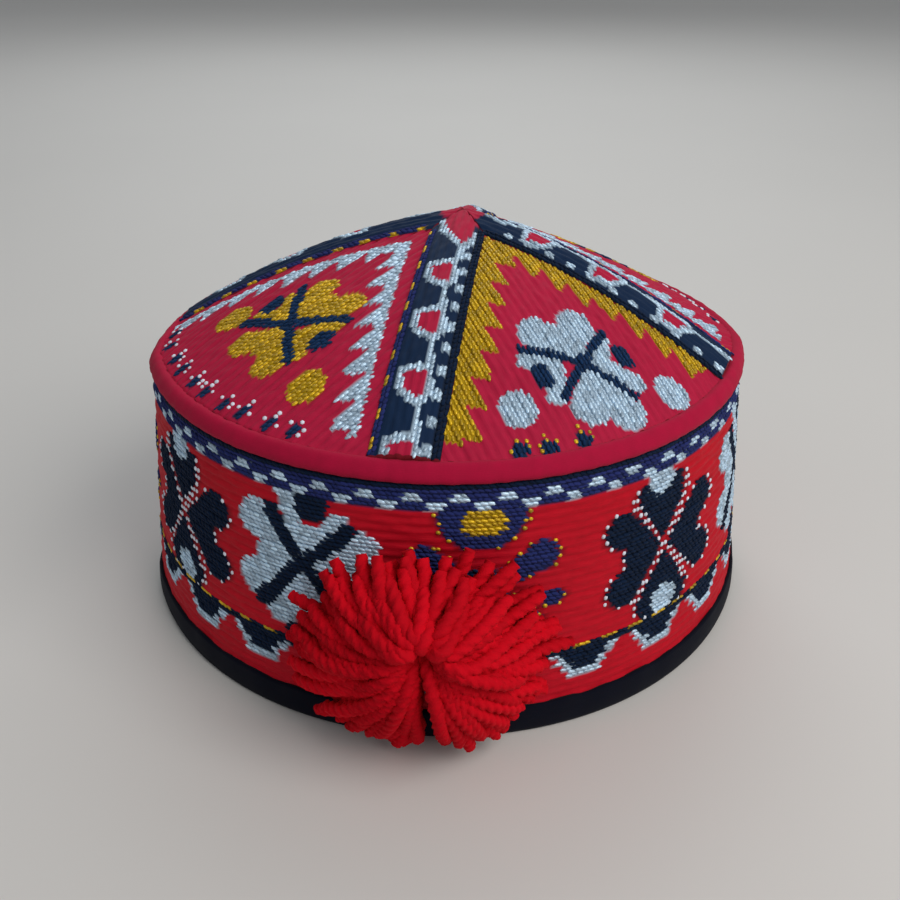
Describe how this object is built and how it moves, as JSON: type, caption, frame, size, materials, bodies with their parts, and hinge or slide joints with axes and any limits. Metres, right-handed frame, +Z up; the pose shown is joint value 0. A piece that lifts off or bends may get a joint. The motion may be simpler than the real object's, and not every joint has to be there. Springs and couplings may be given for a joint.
{
  "type": "traditional hat",
  "caption": "Stiff embroidered folk skullcap with a tapered side band, a low crown of gores under raised ridges, a piped edge and a yarn pompom at the front.",
  "frame": {"origin": "middle of the hat's box at the bottom, on the surface that the edge binding stands on; the axis of its round front lies 17.5 mm behind it and 1.3 mm to its -X side, because the pompom stands out in front and the back is pressed in", "axes": "+Z up through the crown, -Y towards the pompom at the front, +X to the wearer's left when the pompom is worn in front"},
  "size_m": [0.184, 0.1962, 0.1122],
  "materials": {
    "band_embroidery": "dense ribbed stitching in red with navy, black, silver and gold motifs",
    "gore_embroidery": "dense crimson stitching with silver and gold thread",
    "ridge_embroidery": "dense navy stitching with red and white",
    "red_piping": "red cotton cloth over a stuffed roll",
    "navy_tape": "woven navy tape",
    "red_yarn": "soft plied yarn"
  },
  "bodies": {
    "root": {"side_band": "band_embroidery", "edge_binding": "navy_tape", "crown_piping": "red_piping", "gore_front_left": "gore_embroidery", "gore_front_right": "gore_embroidery", "gore_back_right": "gore_embroidery", "gore_back_left": "gore_embroidery", "ridge_front": "ridge_embroidery", "ridge_right": "ridge_embroidery", "ridge_back": "ridge_embroidery", "ridge_left": "ridge_embroidery", "pompom": "red_yarn"}
  },
  "joints": []
}
